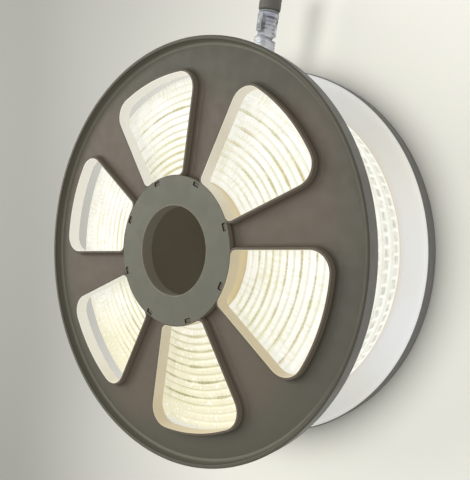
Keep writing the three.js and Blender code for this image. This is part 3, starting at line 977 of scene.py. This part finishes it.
def body_mesh():
    """The clear threaded body with its collar and two side lugs."""
    build = Build()
    outline, mats = body_outline()
    revolve(build, outline, mat=mats)
    obj = add_object("body_tube", build.mesh("body_tube"), BODY_LOOKS)
    lugs = Build()
    y, z0, z1 = LUG_HALF_W, BODY_LOW + LUG_FROM, BODY_LOW + LUG_TO
    loop = rounded([(z0, -y, 0.8), (z1, -y, 0.2), (z1, y, 0.2), (z0, y, 0.8)], 3)
    for side in (-1, 1):
        x0, x1 = side * (BODY_R - LUG_SINK), side * (BODY_R + LUG_OUT)
        rings = []
        for x, s in ((x0, 0.0), (x1 - side * LUG_BEVEL_H, 0.0), (x1, LUG_BEVEL)):
            rings.append([(x, b * (1 - s / y), a + (s if a < (z0 + z1) / 2 else 0))
                          for a, b in loop])
        base, n, m = lugs.grid(along_tail(rings), SHADE, closed_u=False)
        lugs.cap(base, m, 0, flip=True, mat=SHADE)
        lugs.cap(base, m, n - 1, mat=SHADE)
    tool = add_object("body_lugs", lugs.mesh("body_lugs"), BODY_LOOKS)
    boolean(obj, tool, "UNION")
    data = evaluated_copy(obj, "body")
    bpy.data.objects.remove(tool)
    return data


SEAL_IN, SEAL_R, SEAL_LOW, SEAL_TOP = 5.0, 7.4, 18.9, 20.3


def seal_mesh():
    build = Build()
    outline = rounded([(SEAL_IN, SEAL_LOW, 0.4), (SEAL_R, SEAL_LOW, 0.5),
                       (SEAL_R, SEAL_TOP, 0.5), (SEAL_IN, SEAL_TOP, 0.4)], 4)
    build.grid(along_tail(lathe_rings(outline, ROUND_STEPS)), 0)
    return build.mesh("seal")


PLUG_LOW, PLUG_R, PLUG_L, PLUG_NOSE_R, PLUG_NOSE_L = 20.6, 8.1, 24.0, 4.1, 8.0
PLUG_SHOULDER, PLUG_END = 3.6, 3.0
# A groove round the plug: four heights over its shoulder, and its depth
GROOVE, GROOVE_DEPTH = (6.2, 6.5, 7.3, 7.6), 0.35
PIN_R, PIN_SPACING, PIN_LOW, PIN_HIGH = 1.0, 4.6, 5.9, 17.3
PIN_STEPS, PIN_CLEAR, PIN_HOLE = 24, 0.3, 5.0
PIN_TAPER, PIN_TIP = 0.7, 0.15


def plug_mesh():
    """The dark round plug, with a nose that has a hole for each pin."""
    build = Build()
    z, nose, top = PLUG_LOW, PLUG_LOW - PLUG_NOSE_L, PLUG_LOW + PLUG_L
    g0, g1, g2, g3 = (z + height for height in GROOVE)
    floor_r = PLUG_R - GROOVE_DEPTH
    outline = rounded([(0, nose, 0), (PLUG_NOSE_R, nose, 0.5), (PLUG_NOSE_R, z, 0.3),
                       (PLUG_R, z, PLUG_SHOULDER), (PLUG_R, g0, 0.2), (floor_r, g1, 0.15),
                       (floor_r, g2, 0.15), (PLUG_R, g3, 0.2),
                       (PLUG_R, top, PLUG_END), (0, top, 0)], 6)
    revolve(build, outline, ROUND_STEPS)
    obj = add_object("plug_body", build.mesh("plug_body"), [])
    holes = Build()
    for side in (-1, 1):
        radius = PIN_R + PIN_CLEAR
        ring = lathe_rings([(radius, nose - CUT_UNDER), (radius, nose + PIN_HOLE)], PIN_STEPS)
        ring[..., 0] += side * PIN_SPACING / 2
        rows = np.swapaxes(along_tail(ring), 0, 1)
        base, n, m = holes.grid(rows, 0, closed_u=False)
        holes.cap(base, m, 0, flip=True)
        holes.cap(base, m, 1)
    tool = add_object("plug_holes", holes.mesh("plug_holes"), [])
    boolean(obj, tool, "DIFFERENCE")
    data = evaluated_copy(obj, "plug")
    bpy.data.objects.remove(tool)
    return data


def pin_mesh(side):
    """One contact pin: side is 1 for the one nearer the front flange, and -1 for the other."""
    build = Build()
    outline = [(0, PIN_LOW), (PIN_R, PIN_LOW), (PIN_R, PIN_HIGH - PIN_TAPER),
               (PIN_R * 0.7, PIN_HIGH - PIN_TIP), (0, PIN_HIGH)]
    revolve(build, outline, PIN_STEPS)
    shift = np.array([0.0, 0.0, side * PIN_SPACING / 2])
    build.verts = [v + shift for v in build.verts]
    return build.mesh("pin")


piece("clear_sleeve", sleeve_mesh(), [clear_look.material], ["strip_end_sleeve"])
piece("clear_body", body_mesh(), BODY_LOOKS, ["connector_body"])
piece("rubber_seal", seal_mesh(), [rubber_look.material], ["seal_ring"])
piece("round_plug", plug_mesh(), [plug_look.material], ["coupling_plug"])
piece("brass_pin_front", pin_mesh(1), [brass_look.material], ["contact_pin_front"])
piece("brass_pin_rear", pin_mesh(-1), [brass_look.material], ["contact_pin_rear"])

# ---- floor, light and camera

FLOOR_HALF = 4.0
floor_corners = [(x * FLOOR_HALF, y * FLOOR_HALF, 0)
                 for x, y in ((-1, -1), (1, -1), (1, 1), (-1, 1))]
floor_data = bpy.data.meshes.new("floor")
floor_data.from_pydata(floor_corners, [], [(0, 1, 2, 3)])
floor = bpy.data.objects.new("floor", floor_data)
bpy.context.scene.collection.objects.link(floor)
floor_look = Nodes("floor_pale")
# Painted shade: greyer on the side away from the camera, with an uneven border
drift = floor_look.plus(floor_look.axis("X"), floor_look.patches(1.5, 0.3, 0.7, -0.04, 0.04))
floor_shade = floor_look.mix(floor_look.span(drift, -0.4, 0.2),
                             colour(152, 152, 147), colour(236, 235, 227))
floor_look.set(Base_Color=floor_shade, Roughness=0.85, Specular_IOR_Level=0.2)
floor_data.materials.append(floor_look.material)

world = bpy.data.worlds.new("studio")
bpy.context.scene.world = world
world.use_nodes = True
sky = world.node_tree.nodes["Background"]
sky.inputs["Color"].default_value = colour(238, 238, 236)
sky.inputs["Strength"].default_value = 0.6


def lamp(name, place, aim, size, power, tint=(1.0, 1.0, 1.0)):
    """A round soft lamp that points at aim. Places and size are in metres, power is in watts."""
    data = bpy.data.lights.new(name, "AREA")
    data.shape, data.size = "DISK", size
    data.energy, data.color = power, tint
    obj = bpy.data.objects.new(name, data)
    bpy.context.scene.collection.objects.link(obj)
    obj.location = place
    obj.rotation_euler = (Vector(aim) - Vector(place)).to_track_quat("-Z", "Y").to_euler()


lamp("soft_key", place=(-0.7, 0.15, 0.8), aim=(-0.05, 0, 0.05), size=0.9, power=6.0,
     tint=(1.0, 0.98, 0.95))
lamp("soft_top", place=(0.0, 0.05, 1.6), aim=(0.05, 0, 0.0), size=0.5, power=9.8)

camera_data = bpy.data.cameras.new("camera")
camera = bpy.data.objects.new("camera", camera_data)
bpy.context.scene.collection.objects.link(camera)
bpy.context.scene.camera = camera
# Place, directions and lens as fitted to the rim, hub and bore in the photo
CAMERA_PLACE = (271.87, 25.19, 372.2)
CAMERA_RIGHT, CAMERA_FORWARD = (0.77422, 0.06490, -0.62958), (-0.62844, -0.03928, -0.77687)
camera_data.sensor_width, camera_data.sensor_fit = 36.0, "AUTO"
camera_data.lens = 39.83
camera_data.clip_start, camera_data.clip_end = 0.01, 50.0
forward = Vector(CAMERA_FORWARD).normalized()
up = Vector(CAMERA_RIGHT).normalized().cross(forward).normalized()
right = forward.cross(up).normalized()
camera_matrix = Matrix((right, up, -forward)).transposed().to_4x4()
camera_matrix.translation = to_frame(CAMERA_PLACE)
camera.matrix_world = camera_matrix

bpy.context.scene.view_settings.view_transform = "Standard"
